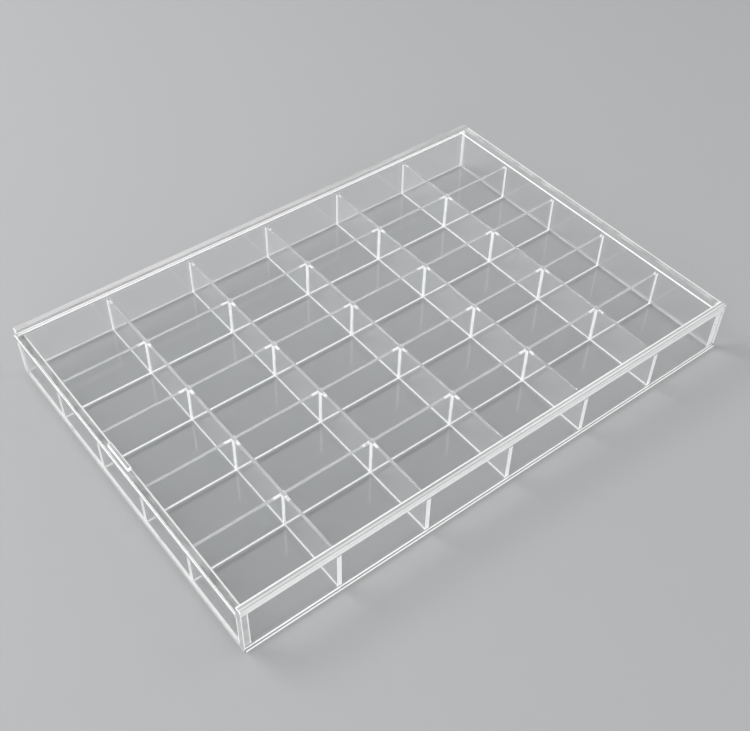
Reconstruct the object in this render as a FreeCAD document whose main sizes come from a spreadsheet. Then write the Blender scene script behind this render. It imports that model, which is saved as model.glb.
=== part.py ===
import FreeCAD, Part
import Sketcher
import enum
import math
import os

from FreeCAD import Placement, Rotation, Vector

# Flat jewellery case of clear acrylic sheet: a base plate with four walls bonded on it, a half-lapped
# grid of dividers, and a lid that slides in grooves milled into the two long walls.
# X runs along the case from the pull end to the far end, Y from the front wall to the back wall, Z up.
# The origin is the middle of the base plate's underside, on the surface that the case stands on.

doc = FreeCAD.newDocument("jewellery_case")
sheet = doc.addObject("Spreadsheet::Sheet", "Sizes")


def fill_sheet(rows_of_cells, first_row):
    """One row of the sheet for each name and its number or formula."""
    for row, (alias, content) in enumerate(rows_of_cells, start=first_row):
        sheet.set(f"A{row}", alias)
        sheet.set(f"B{row}", str(content))
        sheet.setAlias(f"B{row}", alias)


# Driving dimensions, in millimetres, and the two counts of compartments

driving_dimensions = [
    ("case_length", 350.0),
    ("case_width", 240.0),
    ("case_height", 36.5),
    ("base_thickness", 2.5),
    ("base_overhang", 1.0),
    ("wall_thickness", 4.5),
    ("far_wall_inset", 0.5),
    ("groove_depth", 2.2),
    ("lip_height", 2.3),
    ("lid_thickness", 3.0),
    ("lid_top_gap", 0.4),
    ("lid_side_gap", 0.4),
    ("lid_end_gap", 0.2),
    ("lid_pass_gap", 0.3),
    ("lid_overhang", 1.4),
    ("lid_corner_radius", 0.8),
    ("columns", 6),
    ("rows", 5),
    ("end_column_narrowing", 2.6),
    ("divider_thickness", 2.0),
    ("divider_lid_gap", 2.3),
    ("slot_gap", 0.1),
    ("pull_length", 21.5),
    ("pull_width", 2.5),
    ("pull_height", 2.5),
    ("pull_setback", 2.3),
    ("pull_offset", 2.0),
    ("pull_corner_radius", 0.8),
    ("edge_break", 0.3),
]

# Sizes that follow from them. Heights of the walls, the groove and the dividers start at the base
# plate's upper face, and lengths inside the case start at the inner face of the pull end wall.
# The inner columns are all alike, and the two end columns are narrower than those.

derived_dimensions = [
    ("base_length", "=case_length + base_overhang"),
    ("wall_height", "=case_height - base_thickness"),
    ("inner_length", "=case_length - far_wall_inset - 2 * wall_thickness"),
    ("inner_width", "=case_width - 2 * wall_thickness"),
    ("groove_top", "=wall_height - lip_height"),
    ("groove_floor", "=groove_top - lid_top_gap - lid_thickness"),
    ("groove_back", "=wall_thickness - groove_depth"),
    ("pull_wall_height", "=groove_floor - lid_pass_gap"),
    ("divider_height", "=groove_floor - divider_lid_gap"),
    ("sum_of_columns", "=inner_length - (columns - 1) * divider_thickness"),
    ("column_clear", "=(sum_of_columns + 2 * end_column_narrowing) / columns"),
    ("column_pitch", "=column_clear + divider_thickness"),
    ("first_column_clear", "=column_clear - end_column_narrowing"),
    ("sum_of_rows", "=inner_width - (rows - 1) * divider_thickness"),
    ("row_clear", "=sum_of_rows / rows"),
    ("row_pitch", "=row_clear + divider_thickness"),
    ("slot_width", "=divider_thickness + 2 * slot_gap"),
    ("slot_depth", "=divider_height / 2 + slot_gap"),
    ("lid_length", "=inner_length + wall_thickness + lid_overhang - lid_end_gap"),
    ("lid_width", "=inner_width + 2 * (groove_depth - lid_side_gap)"),
    ("walls_start", "=-base_length / 2"),
    ("inner_start", "=walls_start + wall_thickness"),
    ("inner_front", "=-inner_width / 2"),
    ("lid_start", "=walls_start - lid_overhang"),
    ("lid_underside", "=base_thickness + groove_floor"),
]

fill_sheet(driving_dimensions, first_row=1)
fill_sheet(derived_dimensions, first_row=len(driving_dimensions) + 2)
doc.recompute()

# Ways to draw and shape a piece, used by all of them

SAME_PLACE = 1e-6

# How a sketch numbers the two ends of a line, from 1, and its own axes. The level axis starts at its origin.

End = enum.IntEnum("End", ["START", "STOP"])
Axis = enum.IntEnum("Axis", {"LEVEL": -1, "UPRIGHT": -2})


def value_of(formula):
    """The present value of a formula on the sheet."""
    return float(sheet.evalExpression(formula))


def new_piece(name, along, across, up, turn=0.0):
    """A body whose place is bound to three formulas, turned about Z by an angle in degrees."""
    body = doc.addObject("PartDesign::Body", name)
    body.Label = name
    body.Placement = Placement(Vector(0, 0, 0), Rotation(Vector(0, 0, 1), turn))
    for axis, formula in zip("xyz", (along, across, up)):
        body.setExpression(f"Placement.Base.{axis}", formula)
    return body


def draw_outline(body, role, name, corners):
    """A closed outline of level and upright lines on one of the body's own origin planes.

    The corners are pairs of formulas. Each line is held level or upright, and its distance from the
    sketch's axis is bound to its formula.
    """
    sketch = body.newObject("Sketcher::SketchObject", f"{body.Name}_{name}")
    plane = next(feature for feature in body.Origin.OriginFeatures if feature.Role == role)
    sketch.AttachmentSupport = (plane, [""])
    sketch.MapMode = "FlatFace"
    places = [Vector(value_of(across), value_of(up), 0) for across, up in corners]
    for start, end in zip(places, places[1:] + places[:1]):
        sketch.addGeometry(Part.LineSegment(start, end), False)
    for line, (across, up) in enumerate(corners):
        next_line = (line + 1) % len(corners)
        sketch.addConstraint(Sketcher.Constraint("Coincident", line, End.STOP, next_line, End.START))
        if up == corners[next_line][1]:
            kind, distance, axis, formula = "Horizontal", "DistanceY", Axis.LEVEL, up
        else:
            kind, distance, axis, formula = "Vertical", "DistanceX", Axis.UPRIGHT, across
        sketch.addConstraint(Sketcher.Constraint(kind, line))
        if formula == "0":
            sketch.addConstraint(Sketcher.Constraint("PointOnObject", line, End.START, axis))
            continue
        origin = (Axis.LEVEL, End.START)
        size = value_of(formula)
        number = sketch.addConstraint(Sketcher.Constraint(distance, *origin, line, End.START, size))
        sketch.setExpression(f"Constraints[{number}]", formula)
    return sketch


def rectangle(left, right, bottom, top):
    """The four corners of a rectangle between two distances across and two distances up."""
    return [(left, bottom), (right, bottom), (right, top), (left, top)]


def pad(body, sketch, thickness, reverse=False):
    """The sheet that a closed outline makes at a given thickness."""
    feature = body.newObject("PartDesign::Pad", f"{body.Name}_sheet")
    feature.Profile = sketch
    feature.setExpression("Length", thickness)
    feature.Reversed = reverse
    doc.recompute()
    return feature


def cut_through(body, sketch, name, reverse):
    """An outline cut right through the piece, which must lose material by it."""
    volume_before = body.Shape.Volume
    feature = body.newObject("PartDesign::Pocket", f"{body.Name}_{name}")
    feature.Profile = sketch
    feature.Type = "ThroughAll"
    feature.Reversed = reverse
    doc.recompute()
    if body.Shape.Volume >= volume_before:
        raise RuntimeError(f"{body.Label}: the cut {name} removed nothing")
    return feature


def repeat_along(body, feature, sketch, pitch, count):
    """Copies of a cut at a steady pitch along the sketch's level axis."""
    pattern = body.newObject("PartDesign::LinearPattern", f"{feature.Name}_row")
    pattern.Originals = [feature]
    pattern.Direction = (sketch, ["H_Axis"])
    pattern.Mode = "Spacing"
    pattern.setExpression("Offset", pitch)
    pattern.setExpression("Occurrences", count)
    body.Tip = pattern
    doc.recompute()
    return pattern


def is_upright(edge):
    """Whether an edge runs along Z."""
    box = edge.BoundBox
    return box.ZLength > max(box.XLength, box.YLength)


def is_level_at(edge, height):
    """Whether an edge lies flat at a height above the piece's own origin."""
    return math.isclose(edge.BoundBox.ZMin, height, abs_tol=SAME_PLACE) and math.isclose(
        edge.BoundBox.ZMax, height, abs_tol=SAME_PLACE)


def round_edges(body, is_wanted, radius, name):
    """A fillet on the edges of the piece so far that pass a test."""
    base = body.Tip
    wanted = [f"Edge{number}" for number, edge in enumerate(base.Shape.Edges, start=1) if is_wanted(edge)]
    feature = body.newObject("PartDesign::Fillet", f"{body.Name}_{name}")
    feature.Base = (base, wanted)
    feature.setExpression("Radius", radius)
    doc.recompute()
    return feature


# Base plate: the sheet that the walls and dividers stand on. Its far end stands out past the walls.

base_plate = new_piece("base_plate", "Sizes.walls_start", "-Sizes.case_width / 2", "0")
base_outline = draw_outline(
    base_plate, "XY_Plane", "outline", rectangle("0", "Sizes.base_length", "0", "Sizes.case_width"))
pad(base_plate, base_outline, "Sizes.base_thickness")
round_edges(
    base_plate,
    lambda edge: is_upright(edge) or is_level_at(edge, 0),
    "min(Sizes.edge_break; Sizes.base_thickness / 3)",
    "broken_edges")

# Long walls: one section with the lid's groove milled into its inner face, the same piece at the front
# and, turned round, at the back. The material left above the groove is the lip that holds the lid down.

wall_section = [
    ("0", "0"),
    ("Sizes.wall_thickness", "0"),
    ("Sizes.wall_thickness", "Sizes.groove_floor"),
    ("Sizes.groove_back", "Sizes.groove_floor"),
    ("Sizes.groove_back", "Sizes.groove_top"),
    ("Sizes.wall_thickness", "Sizes.groove_top"),
    ("Sizes.wall_thickness", "Sizes.wall_height"),
    ("0", "Sizes.wall_height"),
]


def make_long_wall(name, along, across, turn):
    """A grooved wall as long as the case, with its outer face on the piece's own XZ plane."""
    wall = new_piece(name, along, across, "Sizes.base_thickness", turn)
    section = draw_outline(wall, "YZ_Plane", "section", wall_section)
    pad(wall, section, "Sizes.case_length")
    wall_height = value_of("Sizes.wall_height")

    def is_exposed(edge):
        on_outer_face = math.isclose(edge.BoundBox.YMax, 0, abs_tol=SAME_PLACE)
        return is_level_at(edge, wall_height) or (is_upright(edge) and on_outer_face)

    round_edges(wall, is_exposed, "min(Sizes.edge_break; Sizes.lip_height / 3)", "broken_edges")
    return wall


front_wall = make_long_wall("front_wall", "Sizes.walls_start", "-Sizes.case_width / 2", turn=0)
back_wall = make_long_wall(
    "back_wall", "Sizes.walls_start + Sizes.case_length", "Sizes.case_width / 2", turn=180)

# End walls: the same sheet, butted between the long walls. The one at the pull end stops just below the
# lid, which passes over it. The one at the far end is as high as the long walls and stops the lid.


def make_end_wall(name, along, height):
    """A plain wall between the long walls' inner faces."""
    wall = new_piece(name, along, "Sizes.inner_front", "Sizes.base_thickness")
    outline = draw_outline(wall, "YZ_Plane", "outline", rectangle("0", "Sizes.inner_width", "0", height))
    pad(wall, outline, "Sizes.wall_thickness")
    top = value_of(height)

    def is_exposed(edge):
        runs_across = edge.BoundBox.YLength > edge.BoundBox.XLength
        return is_level_at(edge, top) and runs_across

    round_edges(wall, is_exposed, "min(Sizes.edge_break; Sizes.wall_thickness / 3)", "broken_edges")
    return wall


pull_end_wall = make_end_wall("pull_end_wall", "Sizes.walls_start", "Sizes.pull_wall_height")
far_end_wall = make_end_wall("far_end_wall", "Sizes.inner_start + Sizes.inner_length", "Sizes.wall_height")

# Dividers: a half-lapped grid. The cross dividers are slotted from below and the long dividers from
# above, each slot a little over half the height and a little wider than the sheet that drops into it.


def make_cross_divider(number):
    """The divider after a number of columns, with a slot over each long divider."""
    along = f"Sizes.inner_start + Sizes.first_column_clear + {number - 1} * Sizes.column_pitch"
    divider = new_piece(f"cross_divider_{number}", along, "Sizes.inner_front", "Sizes.base_thickness")
    outline = draw_outline(
        divider, "YZ_Plane", "outline", rectangle("0", "Sizes.inner_width", "0", "Sizes.divider_height"))
    pad(divider, outline, "Sizes.divider_thickness")
    slot_start = "Sizes.row_clear - Sizes.slot_gap"
    slot_corners = rectangle(slot_start, f"{slot_start} + Sizes.slot_width", "0", "Sizes.slot_depth")
    slot_sketch = draw_outline(divider, "YZ_Plane", "slot_outline", slot_corners)
    slot = cut_through(divider, slot_sketch, "slot", reverse=True)
    repeat_along(divider, slot, slot_sketch, "Sizes.row_pitch", "Sizes.rows - 1")
    return divider


def make_long_divider(number):
    """The divider behind a number of rows, with a slot under each cross divider."""
    across = f"Sizes.inner_front + Sizes.row_clear + {number - 1} * Sizes.row_pitch"
    divider = new_piece(f"long_divider_{number}", "Sizes.inner_start", across, "Sizes.base_thickness")
    outline = draw_outline(
        divider, "XZ_Plane", "outline", rectangle("0", "Sizes.inner_length", "0", "Sizes.divider_height"))
    pad(divider, outline, "Sizes.divider_thickness", reverse=True)
    slot_start = "Sizes.first_column_clear - Sizes.slot_gap"
    slot_floor = "Sizes.divider_height - Sizes.slot_depth"
    slot_corners = rectangle(
        slot_start, f"{slot_start} + Sizes.slot_width", slot_floor, "Sizes.divider_height")
    slot_sketch = draw_outline(divider, "XZ_Plane", "slot_outline", slot_corners)
    slot = cut_through(divider, slot_sketch, "slot", reverse=False)
    repeat_along(divider, slot, slot_sketch, "Sizes.column_pitch", "Sizes.columns - 1")
    return divider


columns = int(value_of("Sizes.columns"))
rows = int(value_of("Sizes.rows"))
cross_dividers = [make_cross_divider(number) for number in range(1, columns)]
long_dividers = [make_long_divider(number) for number in range(1, rows)]

# Lid: the sheet that slides in the two grooves, shown closed. It lies on the grooves' floors and stands
# out a little past the case at the pull end.

lid = new_piece("lid", "Sizes.lid_start", "-Sizes.lid_width / 2", "Sizes.lid_underside")
lid_outline = draw_outline(
    lid, "XY_Plane", "outline", rectangle("0", "Sizes.lid_length", "0", "Sizes.lid_width"))
pad(lid, lid_outline, "Sizes.lid_thickness")
lid_thickness = value_of("Sizes.lid_thickness")
round_edges(lid, is_upright, "Sizes.lid_corner_radius", "corners")
round_edges(
    lid,
    lambda edge: is_level_at(edge, 0) or is_level_at(edge, lid_thickness),
    "min(Sizes.edge_break; Sizes.lid_thickness / 3)",
    "broken_edges")

# Finger pull: a small bar bonded on the lid, set back from its end and near the middle of its width.

finger_pull = new_piece(
    "finger_pull",
    "Sizes.lid_start + Sizes.pull_setback",
    "-Sizes.pull_length / 2 - Sizes.pull_offset",
    "Sizes.lid_underside + Sizes.lid_thickness")
pull_outline = draw_outline(
    finger_pull, "XY_Plane", "outline", rectangle("0", "Sizes.pull_width", "0", "Sizes.pull_length"))
pad(finger_pull, pull_outline, "Sizes.pull_height")
pull_height = value_of("Sizes.pull_height")
round_edges(finger_pull, is_upright, "min(Sizes.pull_corner_radius; Sizes.pull_width / 3)", "corners")
round_edges(
    finger_pull,
    lambda edge: is_level_at(edge, pull_height),
    "min(Sizes.edge_break; Sizes.pull_height / 3)",
    "broken_edges")

# Every object is checked before any file is written

doc.recompute()
for feature in doc.Objects:
    if "Invalid" in feature.State or "Error" in feature.State:
        raise RuntimeError(f"{feature.Label} failed: {feature.State}")

pieces = [base_plate, front_wall, back_wall, pull_end_wall, far_end_wall, *cross_dividers, *long_dividers]
pieces += [lid, finger_pull]
for piece in pieces:
    if piece.Shape.isNull() or not piece.Shape.isValid() or len(piece.Shape.Solids) != 1:
        raise RuntimeError(f"{piece.Label} is not one valid solid")

os.makedirs("parts", exist_ok=True)
for piece in pieces:
    piece.Shape.exportStep(f"parts/{piece.Label}.step")
    box = piece.Shape.BoundBox
    print(f"{piece.Label}: {box.XMin:.2f} to {box.XMax:.2f}, {box.YMin:.2f} to {box.YMax:.2f}, "
          f"{box.ZMin:.2f} to {box.ZMax:.2f}, {piece.Shape.Volume:.1f} cubic mm")
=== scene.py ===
import math

import bmesh
import bpy
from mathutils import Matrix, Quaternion, Vector


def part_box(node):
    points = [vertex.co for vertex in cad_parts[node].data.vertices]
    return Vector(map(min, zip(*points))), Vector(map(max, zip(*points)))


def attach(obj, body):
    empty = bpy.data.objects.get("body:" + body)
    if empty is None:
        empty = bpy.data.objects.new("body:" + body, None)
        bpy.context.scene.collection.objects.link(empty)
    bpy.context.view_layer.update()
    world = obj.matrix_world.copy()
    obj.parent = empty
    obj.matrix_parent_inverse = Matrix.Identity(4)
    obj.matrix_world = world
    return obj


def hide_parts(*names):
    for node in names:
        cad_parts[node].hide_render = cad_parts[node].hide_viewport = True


# A flat jewellery case of clear cast acrylic: sheets with polished faces and matt, whitened cut edges,
# bonded with solvent into a grid of compartments under a sliding lid. Sizes are in metres.

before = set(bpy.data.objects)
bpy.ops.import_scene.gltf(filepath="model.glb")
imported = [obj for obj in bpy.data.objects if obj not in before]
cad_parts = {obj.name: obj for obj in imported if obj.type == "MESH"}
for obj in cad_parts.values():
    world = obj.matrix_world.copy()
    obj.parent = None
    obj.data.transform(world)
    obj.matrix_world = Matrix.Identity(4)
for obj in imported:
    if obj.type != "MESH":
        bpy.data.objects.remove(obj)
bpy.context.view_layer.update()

# Base plate
# A 2.5 mm sheet of clear acrylic with sawn and sanded edges, on which everything else is bonded.
# Its faces are polished, its edges are matt and look white, and its arrises are lightly broken.


class Socket:
    """A socket of a material's nodes that adds Math nodes when it is used in a Python expression."""

    def __init__(self, tree, source):
        self.tree = tree
        self.source = source

    def maths(self, operation, first, second):
        node = self.tree.nodes.new("ShaderNodeMath")
        node.operation = operation
        feed(self.tree, node.inputs[0], first)
        feed(self.tree, node.inputs[1], second)
        return Socket(self.tree, node.outputs[0])

    def __add__(self, other):
        return self.maths("ADD", self, other)

    def __radd__(self, other):
        return self.maths("ADD", other, self)

    def __sub__(self, other):
        return self.maths("SUBTRACT", self, other)

    def __rsub__(self, other):
        return self.maths("SUBTRACT", other, self)

    def __mul__(self, other):
        return self.maths("MULTIPLY", self, other)

    def __rmul__(self, other):
        return self.maths("MULTIPLY", other, self)


def feed(tree, socket, value):
    """Links a wrapped socket into a node's input, or sets the input to a plain value."""
    if isinstance(value, Socket):
        tree.links.new(value.source, socket)
    else:
        socket.default_value = value


class Finish:
    """A material, or the world, whose nodes are added one by one."""

    def __init__(self, owner):
        self.owner = owner
        self.owner.use_nodes = True
        self.tree = owner.node_tree
        self.tree.nodes.clear()

    def node(self, kind, settings, inputs, output=0):
        """One node with its settings made first, then its inputs, and its chosen output wrapped."""
        node = self.tree.nodes.new(kind)
        for name, value in settings.items():
            setattr(node, name, value)
        for name, value in inputs.items():
            feed(self.tree, node.inputs[name], value)
        return Socket(self.tree, node.outputs[output])

    def noise(self, stretch, detail=3.0):
        """Soft noise from 0 to 1, with its own number of grains to the metre along X, Y and Z."""
        place = self.node("ShaderNodeTexCoord", {}, {}, "Object")
        mapped = self.node("ShaderNodeMapping", {}, {"Vector": place, "Scale": stretch})
        return self.node("ShaderNodeTexNoise", {}, {
            "Vector": mapped, "Scale": 1.0, "Detail": detail, "Roughness": 0.6})

    def spread(self, value, low, high, to_low, to_high):
        """Stretches the part of a value between low and high to a new range, held at its ends."""
        return self.node("ShaderNodeMapRange", {"clamp": True}, {
            "Value": value, "From Min": low, "From Max": high, "To Min": to_low, "To Max": to_high})

    def blend(self, share, first, second):
        """A colour between two colours."""
        return self.node("ShaderNodeMix", {"data_type": "RGBA"}, {
            0: share, 6: (*first, 1), 7: (*second, 1)}, 2)

    def mix(self, share, first, second):
        """A shader between two shaders."""
        return self.node("ShaderNodeMixShader", {}, {0: share, 1: first, 2: second})

    def show(self, shader, output="ShaderNodeOutputMaterial"):
        """Shows the shader as the surface and gives back what it is on."""
        shown = self.tree.nodes.new(output)
        feed(self.tree, shown.inputs["Surface"], shader)
        return self.owner


ACRYLIC_IOR = 1.49


def let_light_by(finish, shader, shade):
    """Lets rays from the lamps and soft light straight past a clear shader, a little shaded."""
    passing = finish.node("ShaderNodeBsdfTransparent", {}, {"Color": (*shade, 1)})
    lamp_ray = finish.node("ShaderNodeLightPath", {}, {}, "Is Shadow Ray")
    soft_ray = finish.node("ShaderNodeLightPath", {}, {}, "Is Diffuse Ray")
    return finish.mix(lamp_ray.maths("MAXIMUM", lamp_ray, soft_ray), shader, passing)


RUBBED_ROUGHNESS = 0.012


def polished(name, tint, shade, painted_reflection=0.0):
    """Clear acrylic's own polished face, faintly dulled by handling, with a share of white mixed in as a
    painted reflection.
    """
    finish = Finish(bpy.data.materials.new(name))
    rubbed = finish.spread(finish.noise((9, 9, 9), 4.0), 0.45, 0.75, 0.0, RUBBED_ROUGHNESS)
    sheet = finish.node("ShaderNodeBsdfPrincipled", {}, {
        "Base Color": (*tint, 1), "Roughness": rubbed, "IOR": ACRYLIC_IOR, "Transmission Weight": 1.0})
    if painted_reflection > 0:
        reflection_white = finish.node("ShaderNodeBsdfPrincipled", {}, {
            "Base Color": (1, 1, 1, 1), "Roughness": 0.5, "IOR": ACRYLIC_IOR})
        sheet = finish.mix(painted_reflection, sheet, reflection_white)
    return finish.show(let_light_by(finish, sheet, shade))


STREAK_ROUGHNESS = 0.04
MATT_SHADE = 0.55
CLEAR_SHADE = 0.4


def cut_face(name, dark, light, grain, clearness=0.3, roughness=0.2):
    """A cut face: partly clear, whitened between two tones by the marks of the saw or the cutter."""
    finish = Finish(bpy.data.materials.new(name))
    streaks = finish.spread(finish.noise(grain), 0.35, 0.65, 0.0, 1.0)
    face = finish.node("ShaderNodeBsdfPrincipled", {}, {
        "Base Color": finish.blend(streaks, [dark] * 3, [light] * 3),
        "Roughness": roughness + STREAK_ROUGHNESS * streaks,
        "IOR": ACRYLIC_IOR, "Transmission Weight": clearness})
    if clearness > 0:
        face = let_light_by(finish, face, [MATT_SHADE + CLEAR_SHADE * clearness] * 3)
    return finish.show(face)


SHEET_TINT = (0.98, 0.985, 0.985)
# How strongly the white joints glow: painted light, not a lamp.
BOND_PAINTED_GLOW = 0.07
UNBROKEN = (0.0, 0.01)


def bonded(name, spots, painted_glow=BOND_PAINTED_GLOW):
    """A white joint or edge with a painted glow for the light the sheets lead to it, and clear spots where
    its noise is low.
    """
    finish = Finish(bpy.data.materials.new(name))
    white = finish.node("ShaderNodeBsdfPrincipled", {}, {
        "Base Color": finish.blend(finish.noise((250, 250, 250)), (0.93, 0.94, 0.94), (1.0, 1.0, 1.0)),
        "Roughness": 0.5, "IOR": ACRYLIC_IOR,
        "Emission Color": (1, 1, 1, 1), "Emission Strength": painted_glow})
    clear = finish.node("ShaderNodeBsdfPrincipled", {}, {
        "Base Color": (*SHEET_TINT, 1), "Roughness": 0.05, "IOR": ACRYLIC_IOR, "Transmission Weight": 1.0})
    whiteness = finish.spread(finish.noise((160, 160, 160)), *spots, 0, 1)
    return finish.show(finish.mix(whiteness, clear, white))


SHEET_SHADE = (0.985, 0.985, 0.985)
# The underside lets lamp and soft light past darker than the other faces: painted shade on the floor under
# the case.
UNDERSIDE_PAINTED_SHADE = (0.84, 0.845, 0.85)
sheet_face = polished("polished_sheet", SHEET_TINT, SHEET_SHADE)
underside = polished("polished_underside", SHEET_TINT, UNDERSIDE_PAINTED_SHADE)
clear_arris = polished("clear_arris", (0.80, 0.81, 0.82), SHEET_SHADE)
sanded_edge = cut_face("sanded_edge", 0.88, 1.0, (300, 300, 300), clearness=0.2, roughness=0.3)
dull_arris = cut_face("dull_arris", 0.40, 0.50, (60, 60, 60), roughness=0.3)
open_seam = cut_face("open_seam", 0.14, 0.24, (60, 60, 60), roughness=0.3)
# The base plate's front and back edges, the lid's end strip and the finger pull's sides glow: painted
# light.
painted_glow_edge = bonded("painted_glow_edge", UNBROKEN, painted_glow=0.25)

ARRIS = 0.0004
ARRIS_ANGLE = math.radians(40)


def block(name, low, high):
    """A plain block between two corners, alone selected and active, as the start of a sheet."""
    bpy.ops.object.select_all(action="DESELECT")
    bpy.ops.mesh.primitive_cube_add(size=1, location=(low + high) / 2, scale=high - low)
    bpy.ops.object.transform_apply(location=True, rotation=True, scale=True)
    piece = bpy.context.object
    piece.name = name
    return piece


def break_arrises(piece, width, segments=1):
    """Eases every sharp edge of the piece by a small width."""
    bevel = piece.modifiers.new("arrises", "BEVEL")
    bevel.width = width
    bevel.segments = segments
    bevel.limit_method = "ANGLE"
    bevel.angle_limit = ARRIS_ANGLE
    bpy.context.view_layer.objects.active = piece
    bpy.ops.object.modifier_apply(modifier=bevel.name)


def dress(piece, finish_of):
    """Gives each face of the piece the finish that its middle and its normal call for."""
    chosen = [finish_of(face.center, face.normal) for face in piece.data.polygons]
    finishes = list(dict.fromkeys(chosen))
    piece.data.materials.clear()
    for finish in finishes:
        piece.data.materials.append(finish)
    for face, finish in zip(piece.data.polygons, chosen):
        face.material_index = finishes.index(finish)


SQUARE = 0.999
FACING = 0.9
LEANING = 0.1


def is_arris(normal):
    """True on the narrow slanted face of a broken edge, which looks square along no axis."""
    return max(abs(part) for part in normal) < SQUARE


def fit(piece, node, body):
    """Puts the finished piece in the place of its CAD node."""
    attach(piece, body)
    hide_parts(node)


def base_finish(middle, normal):
    if is_arris(normal):
        if normal.z < LEANING:
            return clear_arris
        return open_seam if abs(normal.y) > LEANING else dull_arris
    if normal.z < -FACING:
        return underside
    if normal.z > FACING:
        return sheet_face
    return painted_glow_edge if abs(normal.y) > FACING else sanded_edge


base_plate = block("base_plate_sheet", *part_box("base_plate"))
break_arrises(base_plate, ARRIS)
dress(base_plate, base_finish)
fit(base_plate, "base_plate", "case")

# Long walls
# Two 4.5 mm sheets standing on the base plate, with the lid's groove milled into the inner face of each
# and a lip left above it. The groove is matt, and the solvent joint under each wall has gone white.

BOND = 0.00004
GROOVE_DEPTH = 0.0022
GROOVE_HEIGHT = 0.0034
lid_low, lid_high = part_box("lid")
groove_floor = lid_low.z - BOND
groove_top = lid_low.z + GROOVE_HEIGHT

PATCHY = (0.27, 0.33)
cut_edge = cut_face("cut_edge", 0.50, 0.70, (900, 900, 25))
# White arris finish: partly the sanded arris's own whiteness, partly a painted highlight on arrises facing
# up and top-edge strips.
white_and_highlight_arris = cut_face("white_and_highlight_arris", 0.94, 1.0, (120, 120, 120), clearness=0.0, roughness=0.3)
bonded_face = bonded("bonded_face", PATCHY)
close_bond = cut_face("close_bond", 0.62, 0.80, (90, 90, 90), clearness=0.2, roughness=0.3)
# The groove's faces are white with a painted glow, brighter in the back wall's groove.
milled_wall = bonded("milled_groove_wall", UNBROKEN, painted_glow=0.12)
milled_brighter_glow = bonded("milled_groove_brighter_glow", UNBROKEN, painted_glow=0.3)
milled_shelf = cut_face("milled_groove_shelf", 0.36, 0.50, (20, 1500, 1500), clearness=0.5)
wall_top = cut_face("wall_top", 0.46, 0.74, (7, 90, 90))
# The outer half of the front wall's top is painted paler: a painted highlight.
highlight_top = cut_face("wall_top_highlight", 0.72, 0.92, (7, 90, 90), clearness=0.2, roughness=0.25)
# Width of the strips along the walls' top edges that are painted as lines, white ones as highlight and dull
# ones as shade.
PAINTED_STRIP = 0.0007
GROOVE_SLACK = 0.0001


def cut_across(place, direction):
    """In edit mode, cuts the whole piece along a plane, keeping both sides."""
    bpy.ops.mesh.select_all(action="SELECT")
    bpy.ops.mesh.bisect(plane_co=place, plane_no=direction)


def select_faces(piece, is_wanted):
    """In edit mode, selects the faces whose middle and normal pass a test."""
    bpy.ops.mesh.select_all(action="DESELECT")
    mesh = bmesh.from_edit_mesh(piece.data)
    for face in mesh.faces:
        face.select = is_wanted(face.calc_center_median(), face.normal)
    bmesh.update_edit_mesh(piece.data)


for node, inward in (("front_wall", 1), ("back_wall", -1)):
    low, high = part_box(node)
    outer_half = (low.y + high.y) / 2
    wall = block(f"{node}_sheet", low + Vector((0, 0, BOND)), high)
    bpy.ops.object.mode_set(mode="EDIT")
    bpy.ops.mesh.select_mode(type="FACE")
    cut_across((0, 0, groove_floor), (0, 0, 1))
    cut_across((0, 0, groove_top), (0, 0, 1))
    select_faces(wall, lambda middle, normal: (
        normal.y * inward > FACING and groove_floor < middle.z < groove_top))
    bpy.ops.mesh.extrude_region_move(TRANSFORM_OT_translate={"value": (0, -inward * GROOVE_DEPTH, 0)})
    bpy.ops.object.mode_set(mode="OBJECT")
    break_arrises(wall, ARRIS)
    outer = low.y if inward > 0 else high.y
    inner = high.y if inward > 0 else low.y
    bpy.ops.object.mode_set(mode="EDIT")
    cut_across((0, outer + inward * (ARRIS + PAINTED_STRIP), 0), (0, 1, 0))
    cut_across((0, outer_half, 0), (0, 1, 0))
    cut_across((0, inner - inward * (ARRIS + PAINTED_STRIP), 0), (0, 1, 0))
    bpy.ops.object.mode_set(mode="OBJECT")

    def wall_finish(middle, normal):
        in_groove = groove_floor - ARRIS < middle.z < groove_top + ARRIS and (
            (middle.y - outer_half) * inward > -GROOVE_SLACK)
        if is_arris(normal):
            if normal.z < -LEANING and not in_groove:
                return open_seam if inward > 0 else clear_arris
            turned_away = inward < 0 and normal.y * inward > LEANING and normal.z > LEANING
            return dull_arris if turned_away else white_and_highlight_arris
        if in_groove and abs(normal.x) < FACING:
            if inward < 0:
                return milled_brighter_glow
            return milled_shelf if abs(normal.z) > FACING else milled_wall
        outside = abs(middle.y - outer) < ARRIS + PAINTED_STRIP
        # The front wall's top is painted in strips, dull at the outer edge, pale on the outer half and
        # white at the inner edge: painted highlight and shade.
        if normal.z > FACING:
            if inward < 0:
                return wall_top
            if outside:
                return dull_arris
            if middle.y < outer_half:
                return highlight_top
            return white_and_highlight_arris if abs(middle.y - inner) < ARRIS + PAINTED_STRIP else wall_top
        if normal.z < -FACING:
            if inward < 0:
                return close_bond
            return open_seam if outside else bonded_face
        if abs(normal.y) > FACING:
            return sheet_face
        return cut_edge if inward > 0 and normal.x < 0 else sanded_edge

    dress(wall, wall_finish)
    fit(wall, node, "case")

# End walls
# The same sheet, bonded between the long walls. The one at the pull end is lower, and the lid passes
# over it.

sawn_top = cut_face("sawn_top", 0.27, 0.50, (220, 90, 220), clearness=0.2, roughness=0.3)
# The divider joints and slots, the solvent beads and the far end wall's sides are white with a painted
# glow.
white_bond = bonded("white_bond", PATCHY, painted_glow=0.22)

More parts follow.
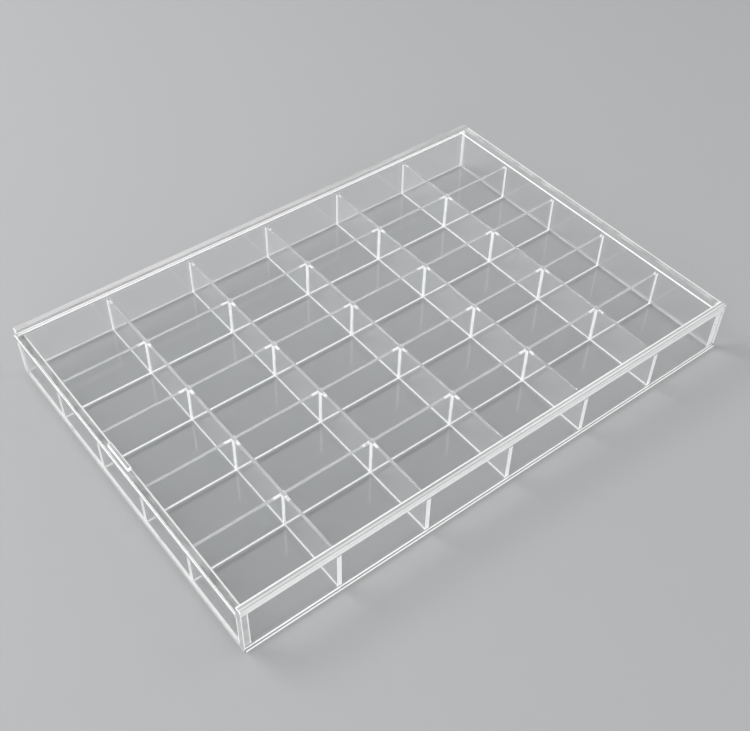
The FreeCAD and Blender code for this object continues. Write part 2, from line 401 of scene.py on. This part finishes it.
for node in ("pull_end_wall", "far_end_wall"):
    low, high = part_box(node)
    wall = block(f"{node}_sheet", low + Vector((0, BOND, BOND)), high - Vector((0, BOND, 0)))
    break_arrises(wall, ARRIS)
    # A strip along the top edge on the +X side is painted white: a painted highlight.
    strip = high.x - ARRIS - PAINTED_STRIP
    bpy.ops.object.mode_set(mode="EDIT")
    cut_across((strip, 0, 0), (1, 0, 0))
    bpy.ops.object.mode_set(mode="OBJECT")

    def end_wall_finish(middle, normal):
        if is_arris(normal):
            if normal.x < -LEANING and normal.z > LEANING:
                return clear_arris if node == "pull_end_wall" else dull_arris
            return white_and_highlight_arris if normal.z > -LEANING else clear_arris
        if abs(normal.x) > FACING:
            return sheet_face
        if normal.z > FACING and middle.x > strip:
            return white_and_highlight_arris
        if normal.z > FACING:
            return sawn_top if node == "pull_end_wall" else wall_top
        foot = normal.z < -FACING
        if node == "pull_end_wall":
            return bonded_face if foot else close_bond
        return close_bond if foot else white_bond

    dress(wall, end_wall_finish)
    fit(wall, node, "case")

# Dividers
# Nine 2 mm sheets, laser cut with half-lap slots: five across the case, slotted from below, and four
# along it, slotted from above. The slots and the feet are bonded with solvent, and their joints are white.

SLOT_GAP = 0.0001
DIVIDER_ARRIS = 0.00025
TOP_DEPTH = 0.0005
TOP_LEAN = 0.5
# The cross dividers' faces carry a share of white: a painted reflection of the soft light on them.
DIVIDER_PAINTED_REFLECTION = 0.09
long_face = polished("polished_divider", SHEET_TINT, SHEET_SHADE)
cross_face = polished("painted_reflection_divider", SHEET_TINT, SHEET_SHADE, DIVIDER_PAINTED_REFLECTION)
cross_nodes = sorted(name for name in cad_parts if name.startswith("cross_divider"))
long_nodes = sorted(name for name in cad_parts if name.startswith("long_divider"))

TOP_DARK = (0.44, 0.445, 0.45)
TOP_LIGHT = (0.60, 0.605, 0.61)
TOP_SHADE = (0.9, 0.9, 0.9)
MARK_FADE = 0.8


def polished_top(name, axis, crossing_nodes, start, reflection_reach):
    """A flame-polished top edge, with a white mark painted before each crossing: a painted reflection."""
    finish = Finish(bpy.data.materials.new(name))
    tone = finish.blend(finish.noise((60, 60, 60)), TOP_DARK, TOP_LIGHT)
    dim = finish.node("ShaderNodeBsdfPrincipled", {}, {
        "Base Color": tone, "Roughness": 0.25, "IOR": ACRYLIC_IOR, "Transmission Weight": 0.25})
    white = finish.node("ShaderNodeBsdfPrincipled", {}, {
        "Base Color": (1, 1, 1, 1), "Roughness": 0.5, "IOR": ACRYLIC_IOR})
    middles = [sum(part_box(crossing), Vector())[axis] / 2 for crossing in crossing_nodes]
    pitch = (middles[-1] - middles[0]) / (len(middles) - 1)
    place = finish.node("ShaderNodeTexCoord", {}, {}, "Object")
    along = finish.node("ShaderNodeSeparateXYZ", {}, {"Vector": place}, axis)
    turns = (middles[0] - along) * (1 / pitch)
    before = finish.node("ShaderNodeMath", {"operation": "FRACT"}, {0: turns}) * pitch
    begun = finish.spread(before, MARK_FADE * start, start, 0.0, 1.0)
    # The white marks between start and reach before each crossing are a painted reflection.
    near = finish.spread(before, MARK_FADE * reflection_reach, reflection_reach, 1.0, 0.0) * begun
    dashes = (250, 700, 700) if axis == 0 else (700, 250, 700)
    broken = finish.spread(finish.noise(dashes), 0.40, 0.44, 0.0, 1.0)
    return finish.show(let_light_by(finish, finish.mix(near * broken, dim, white), TOP_SHADE))


tops = {
    False: polished_top("long_divider_top", 0, cross_nodes, start=0.001, reflection_reach=0.007),
    True: polished_top("cross_divider_top", 1, long_nodes, start=0.0025, reflection_reach=0.0065)}

CUTTER_REACH = 0.001


def cut_slots(piece, crossing_nodes, axis, floor, top):
    """Cuts a slot through the piece for each sheet that crosses it, between two heights."""
    for crossing in crossing_nodes:
        low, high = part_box(crossing)
        cut_low, cut_high = (Vector(piece.bound_box[corner]) for corner in (0, 6))
        cut_low -= Vector((CUTTER_REACH, CUTTER_REACH, 0))
        cut_high += Vector((CUTTER_REACH, CUTTER_REACH, 0))
        cut_low[axis], cut_high[axis] = low[axis] - SLOT_GAP, high[axis] + SLOT_GAP
        cut_low.z, cut_high.z = floor, top
        cutter = block("slot_cutter", cut_low, cut_high)
        slot = piece.modifiers.new("slot", "BOOLEAN")
        slot.operation = "DIFFERENCE"
        slot.solver = "EXACT"
        slot.object = cutter
        bpy.context.view_layer.objects.active = piece
        bpy.ops.object.modifier_apply(modifier=slot.name)
        bpy.data.objects.remove(cutter)


def copy_by(piece, name, step):
    """A copy of the piece with its own mesh, a step away from it."""
    bpy.ops.object.select_all(action="DESELECT")
    piece.select_set(True)
    bpy.context.view_layer.objects.active = piece
    bpy.ops.object.duplicate()
    copied = bpy.context.object
    copied.name = name
    copied.location = step
    bpy.ops.object.transform_apply(location=True, rotation=True, scale=True)
    return copied


for nodes, crossing_nodes in ((cross_nodes, long_nodes), (long_nodes, cross_nodes)):
    is_cross = nodes is cross_nodes
    low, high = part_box(nodes[0])
    half = (low.z + high.z) / 2
    end = Vector((0, BOND, 0)) if is_cross else Vector((BOND, 0, 0))
    divider = block(f"{nodes[0]}_sheet", low + end + Vector((0, 0, BOND)), high - end)
    if is_cross:
        cut_slots(divider, crossing_nodes, axis=1, floor=low.z - CUTTER_REACH, top=half + SLOT_GAP)
    else:
        cut_slots(divider, crossing_nodes, axis=0, floor=half - SLOT_GAP, top=high.z + CUTTER_REACH)
    break_arrises(divider, DIVIDER_ARRIS)

    def divider_finish(middle, normal):
        if middle.z > high.z - TOP_DEPTH and normal.z > TOP_LEAN:
            return tops[is_cross]
        if is_arris(normal):
            return white_and_highlight_arris
        if abs(normal.x if is_cross else normal.y) > FACING:
            return cross_face if is_cross else long_face
        return white_bond

    dress(divider, divider_finish)
    copies = [copy_by(divider, f"{node}_sheet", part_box(node)[0] - low) for node in nodes[1:]]
    for sheet, node in zip([divider] + copies, nodes):
        fit(sheet, node, "case")

# Solvent joints
# The beads of solvent cement that dried white along the feet and up the corners of the dividers, where
# they were bonded to the base, to the walls and to each other.

FOOT_BEAD = 0.00012
PULL_END_BEAD = 0.001
CORNER_BEAD = 0.0004
wall_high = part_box("pull_end_wall")[1].z
floor_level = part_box("base_plate")[1].z
divider_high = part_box(cross_nodes[0])[1].z


def bead(start, end, slope):
    """A thin block between two corners, cut along its length so that it slopes the given way."""
    low = Vector([min(pair) for pair in zip(start, end)])
    high = Vector([max(pair) for pair in zip(start, end)])
    strip = block("bead", low, high)
    bpy.ops.object.mode_set(mode="EDIT")
    bpy.ops.mesh.select_all(action="SELECT")
    bpy.ops.mesh.bisect(plane_co=(low + high) / 2, plane_no=slope, use_fill=True, clear_outer=True)
    bpy.ops.object.mode_set(mode="OBJECT")
    return strip


def clear_spans(first_wall, dividers, last_wall, axis):
    """The spans between the first wall, the dividers and the last wall along an axis."""
    faces = [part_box(first_wall)[1][axis]]
    for name in dividers:
        faces += [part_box(name)[0][axis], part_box(name)[1][axis]]
    faces.append(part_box(last_wall)[0][axis])
    return list(zip(faces[::2], faces[1::2]))


columns = clear_spans("pull_end_wall", cross_nodes, "far_end_wall", 0)
rows = clear_spans("front_wall", long_nodes, "back_wall", 1)
ends = (columns[0][0], columns[-1][1])
sides = (rows[0][0], rows[-1][1])
beads = []
for x_span in columns:
    for y_span in rows:
        for y, into in zip(y_span, (1, -1)):
            if y not in sides:
                beads.append(bead((x_span[0], y, floor_level),
                                  (x_span[1], y + into * FOOT_BEAD, floor_level + FOOT_BEAD), (0, into, 1)))
        for x, into in zip(x_span, (1, -1)):
            if x != ends[1]:
                width = PULL_END_BEAD if x == ends[0] else FOOT_BEAD
                beads.append(bead((x, y_span[0], floor_level),
                                  (x + into * width, y_span[1], floor_level + width / 2), (into, 0, 2)))
        for x, into_x in zip(x_span, (1, -1)):
            for y, into_y in zip(y_span, (1, -1)):
                top = wall_high if x in ends and y in sides else divider_high
                corner = (x + into_x * CORNER_BEAD, y + into_y * CORNER_BEAD, top)
                beads.append(bead((x, y, floor_level), corner, (into_x, into_y, 0)))
bpy.ops.object.select_all(action="DESELECT")
for strip in beads:
    strip.select_set(True)
bpy.context.view_layer.objects.active = beads[0]
bpy.ops.object.join()
solvent_beads = bpy.context.object
solvent_beads.name = "solvent_beads"
solvent_beads.data.materials.clear()
solvent_beads.data.materials.append(white_bond)
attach(solvent_beads, "case")

# Lid
# A 3 mm sheet that slides in the grooves. Its edges are sawn like the walls' and its arrises eased, and
# a strip along the top of its far end is painted glowing white: a painted highlight for the bright band
# there.

lid_face = polished("polished_lid", SHEET_TINT, SHEET_SHADE)
LID_ARRIS = 0.0005
END_BAND = 0.0018
end_band = lid_high.x - END_BAND


def lid_finish(middle, normal):
    if is_arris(normal):
        if abs(normal.z) < LEANING:
            return sanded_edge
        return white_and_highlight_arris if abs(normal.x) > LEANING and normal.z > LEANING else clear_arris
    if normal.z > FACING and middle.x > end_band:
        return painted_glow_edge
    if abs(normal.z) > FACING:
        return lid_face
    return cut_edge if normal.x < -FACING else sanded_edge


lid = block("lid_sheet", lid_low, lid_high)
break_arrises(lid, LID_ARRIS)
bpy.ops.object.mode_set(mode="EDIT")
cut_across((end_band, 0, 0), (1, 0, 0))
bpy.ops.object.mode_set(mode="OBJECT")
dress(lid, lid_finish)
fit(lid, "lid", "lid")

# Finger pull
# A short bar of the same acrylic bonded on the lid near its end, to draw it out by. Its rounded arrises
# and its sides are white with a painted glow, and its top is clearer.

pull_top = cut_face("finger_pull_top", 0.36, 0.52, (200, 60, 200))


def pull_finish(middle, normal):
    if is_arris(normal):
        return painted_glow_edge
    if normal.z < -FACING:
        return bonded_face
    return pull_top if normal.z > FACING or normal.x > FACING else painted_glow_edge


low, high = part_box("finger_pull")
finger_pull = block("finger_pull_bar", low + Vector((0, 0, BOND)), high)
break_arrises(finger_pull, ARRIS, 2)
dress(finger_pull, pull_finish)
fit(finger_pull, "finger_pull", "lid")

# Floor, light and camera
# A plain pale floor under soft studio light, seen from the photograph's angle.

FLOOR_COLOUR = (0.46, 0.463, 0.466)
FLOOR_MOTTLE = 0.985
FLOOR_RADIUS = 6.0
FLOOR_DROP = 0.0002

floor_finish = Finish(bpy.data.materials.new("pale_floor"))
floor_grain = floor_finish.noise((40, 40, 40))
floor_colour = floor_finish.blend(floor_grain, [FLOOR_MOTTLE * part for part in FLOOR_COLOUR], FLOOR_COLOUR)
floor_material = floor_finish.show(floor_finish.node("ShaderNodeBsdfPrincipled", {}, {
    "Base Color": floor_colour, "Roughness": 0.6}))
bpy.ops.object.select_all(action="DESELECT")
bpy.ops.mesh.primitive_circle_add(
    vertices=96, radius=FLOOR_RADIUS, fill_type="NGON", location=(0, 0, -FLOOR_DROP))
floor = bpy.context.object
floor.name = "floor"
floor.data.materials.append(floor_material)

WORLD_COLOUR = (0.98, 0.985, 1.0, 1)
HORIZON_SHARE = 0.3
WALL_LIGHT = 0.95
CEILING_LIGHT = 0.2
SWEEP_HEIGHTS = (-0.08, 0.25)
DIMMING_HEIGHTS = (0.35, 0.85)

studio = Finish(bpy.data.worlds.new("studio"))
direction = studio.node("ShaderNodeTexCoord", {}, {}, "Generated")
height = studio.node("ShaderNodeSeparateXYZ", {}, {"Vector": direction}, "Z")
sweep = studio.spread(height, *SWEEP_HEIGHTS, HORIZON_SHARE, 1.0)
light = studio.spread(height, *DIMMING_HEIGHTS, WALL_LIGHT, CEILING_LIGHT) * sweep
background = studio.node("ShaderNodeBackground", {}, {"Color": WORLD_COLOUR, "Strength": light})
bpy.context.scene.world = studio.show(background, "ShaderNodeOutputWorld")


def softbox(name, place, size, power):
    """A square soft lamp aimed at the middle of the case, which its polished faces don't mirror."""
    lamp = bpy.data.lights.new(name, "AREA")
    lamp.shape = "SQUARE"
    lamp.size = size
    lamp.energy = power
    box = bpy.data.objects.new(name, lamp)
    bpy.context.scene.collection.objects.link(box)
    box.location = place
    box.rotation_euler = (-Vector(place)).to_track_quat("-Z", "Y").to_euler()
    box.visible_glossy = False
    box.visible_transmission = False


softbox("key_softbox", (-0.7, 0.9, 1.3), size=0.8, power=16)
softbox("fill_softbox", (1.2, -0.5, 1.2), size=1.0, power=4)
softbox("front_softbox", (-1.3, -1.1, 0.8), size=1.2, power=12)

CAMERA_PLACE = (-0.3007, -0.3689, 0.4864)
CAMERA_AZIMUTH = math.radians(-129.13)
CAMERA_ELEVATION = math.radians(45.98)
CAMERA_ROLL = math.radians(1.39)
IMAGE_WIDTH = 750
FOCAL_PIXELS = 1103.0

camera = bpy.data.objects.new("camera", bpy.data.cameras.new("camera"))
bpy.context.scene.collection.objects.link(camera)
camera.data.lens = FOCAL_PIXELS * camera.data.sensor_width / IMAGE_WIDTH
camera.data.clip_start = 0.01
backward = Vector((
    math.cos(CAMERA_ELEVATION) * math.cos(CAMERA_AZIMUTH),
    math.cos(CAMERA_ELEVATION) * math.sin(CAMERA_AZIMUTH),
    math.sin(CAMERA_ELEVATION)))
camera.location = CAMERA_PLACE
camera.rotation_mode = "QUATERNION"
camera.rotation_quaternion = (-backward).to_track_quat("-Z", "Y") @ Quaternion((0, 0, 1), CAMERA_ROLL)
bpy.context.scene.camera = camera

scene = bpy.context.scene
scene.view_settings.view_transform = "Standard"
scene.cycles.max_bounces = 32
scene.cycles.transmission_bounces = 32
scene.cycles.glossy_bounces = 32
scene.cycles.transparent_max_bounces = 64
scene.cycles.caustics_reflective = False
scene.cycles.caustics_refractive = False
